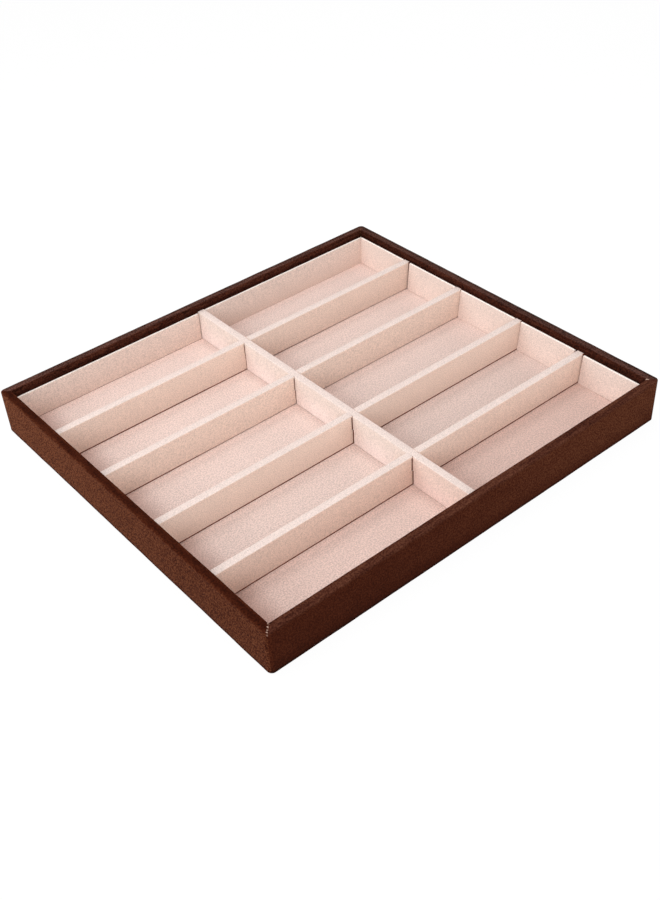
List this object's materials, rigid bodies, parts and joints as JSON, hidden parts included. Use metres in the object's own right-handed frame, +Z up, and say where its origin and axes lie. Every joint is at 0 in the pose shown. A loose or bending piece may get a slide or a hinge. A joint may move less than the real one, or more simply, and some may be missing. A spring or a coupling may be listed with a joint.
{
  "type": "sunglasses storage tray",
  "caption": "Open shallow tray wrapped in dark microfibre, lined with pale suede and split by a lift-out half-lapped divider grid into rows for folded sunglasses.",
  "frame": {"origin": "centre of the tray's footprint on the surface that it stands on", "axes": "+X along the long side of the tray, +Y from the front wall to the back wall along the long divider, +Z up"},
  "size_m": [0.35, 0.317, 0.035],
  "materials": {
    "microfibre": "short napped dark brown microfibre, matt",
    "suede": "pale beige imitation suede, matt",
    "floor_suede": "grainy pale beige imitation suede, matt",
    "fibreboard": "plain wood fibreboard, satin",
    "greyboard": "pressed grey card, matt",
    "underside_felt": "thin dark brown felt, matt"
  },
  "bodies": {
    "tray": {"front_wall_board": "fibreboard", "front_wrap": "microfibre", "right_wall_board": "fibreboard", "right_wrap": "microfibre", "back_wall_board": "fibreboard", "back_wrap": "microfibre", "left_wall_board": "fibreboard", "left_wrap": "microfibre", "base_board": "fibreboard", "underside_cover": "underside_felt", "floor_pad": "floor_suede", "front_liner_left": "suede", "back_liner_left": "suede", "front_liner_right": "suede", "back_liner_right": "suede", "left_liner_1": "suede", "left_liner_2": "suede", "left_liner_3": "suede", "left_liner_4": "suede", "left_liner_5": "suede", "right_liner_1": "suede", "right_liner_2": "suede", "right_liner_3": "suede", "right_liner_4": "suede", "right_liner_5": "suede"},
    "divider_grid": {"cross_divider_1_core": "greyboard", "cross_divider_1_cover": "suede", "cross_divider_2_core": "greyboard", "cross_divider_2_cover": "suede", "cross_divider_3_core": "greyboard", "cross_divider_3_cover": "suede", "cross_divider_4_core": "greyboard", "cross_divider_4_cover": "suede"},
    "long_divider": {"long_divider_core": "greyboard", "long_divider_cover": "suede"}
  },
  "joints": [
    {"name": "grid_lift", "type": "slide", "parent": "tray", "child": "divider_grid", "axis": [0, 0, 1], "range_m": [0, 0.04]},
    {"name": "long_divider_lift", "type": "slide", "parent": "divider_grid", "child": "long_divider", "axis": [0, 0, 1], "range_m": [0, 0.04]}
  ]
}
